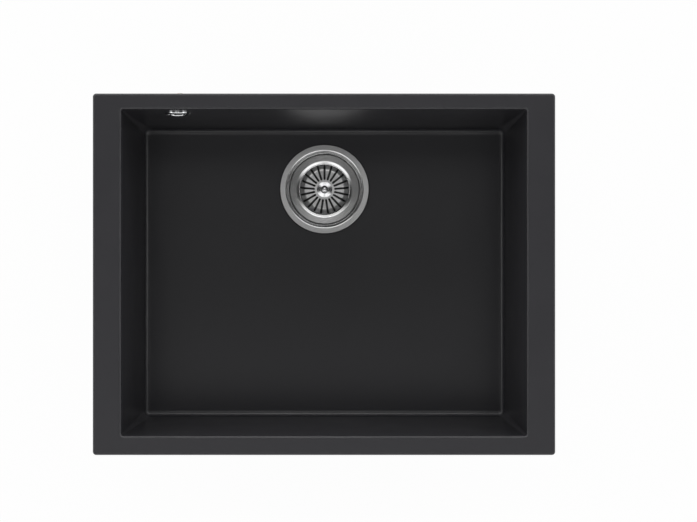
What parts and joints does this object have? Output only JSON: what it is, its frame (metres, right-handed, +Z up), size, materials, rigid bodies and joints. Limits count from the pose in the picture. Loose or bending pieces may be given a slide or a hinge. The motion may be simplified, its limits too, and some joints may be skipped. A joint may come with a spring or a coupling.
{
  "type": "kitchen sink",
  "caption": "Rectangular single-bowl composite sink with a flat rim, a lift-out basket strainer over a threaded waste outlet, and an overflow piped to the waste.",
  "frame": {"origin": "middle of the rim's flat top face", "axes": "+X along the sink's length to the right, +Y to the back where the drain is, +Z up"},
  "size_m": [0.55, 0.4382, 0.293],
  "materials": {
    "composite": "matt black moulded composite with a very fine grain",
    "brushed_steel": "spun and brushed stainless sheet",
    "polished_steel": "polished stainless",
    "machined_steel": "turned stainless",
    "spring_steel": "bare spring steel",
    "chrome": "bright chrome plate",
    "waste_plastic": "white moulded polypropylene",
    "hose_plastic": "grey blow-moulded polyethylene",
    "carrier_plastic": "black moulded polypropylene",
    "rubber": "black moulded rubber",
    "brass": "turned brass"
  },
  "bodies": {
    "sink": {"sink_bowl": "composite", "rim_inserts": "brass", "pan_gasket": "rubber", "strainer_pan": "brushed_steel", "clamp_washer": "rubber", "clamp_screw": "machined_steel", "clamp_nut": "brass", "body_gasket": "rubber", "waste_body": "waste_plastic", "waste_cone": "waste_plastic", "outlet_tail": "waste_plastic", "overflow_rosette": "chrome", "overflow_screw": "chrome", "overflow_gasket": "rubber", "overflow_elbow": "waste_plastic", "elbow_insert": "brass", "overflow_hose": "hose_plastic", "hose_clip": "spring_steel", "hose_washer": "rubber", "hose_nut": "waste_plastic"},
    "plug": {"basket_knob": "polished_steel", "basket_post": "machined_steel", "post_clip": "spring_steel", "post_ring": "rubber", "seal_carrier": "carrier_plastic", "plug_seal": "rubber"},
    "dish": {"basket_dish": "brushed_steel"}
  },
  "joints": [
    {"name": "basket_lift", "type": "slide", "parent": "sink", "child": "plug", "axis": [0, 0, 1], "range_m": [0, 0.26]},
    {"name": "dish_turn", "type": "hinge", "parent": "plug", "child": "dish", "pos_m": [0, 0.11, -0.2145], "axis": [0, 0, 1], "continuous": true}
  ]
}
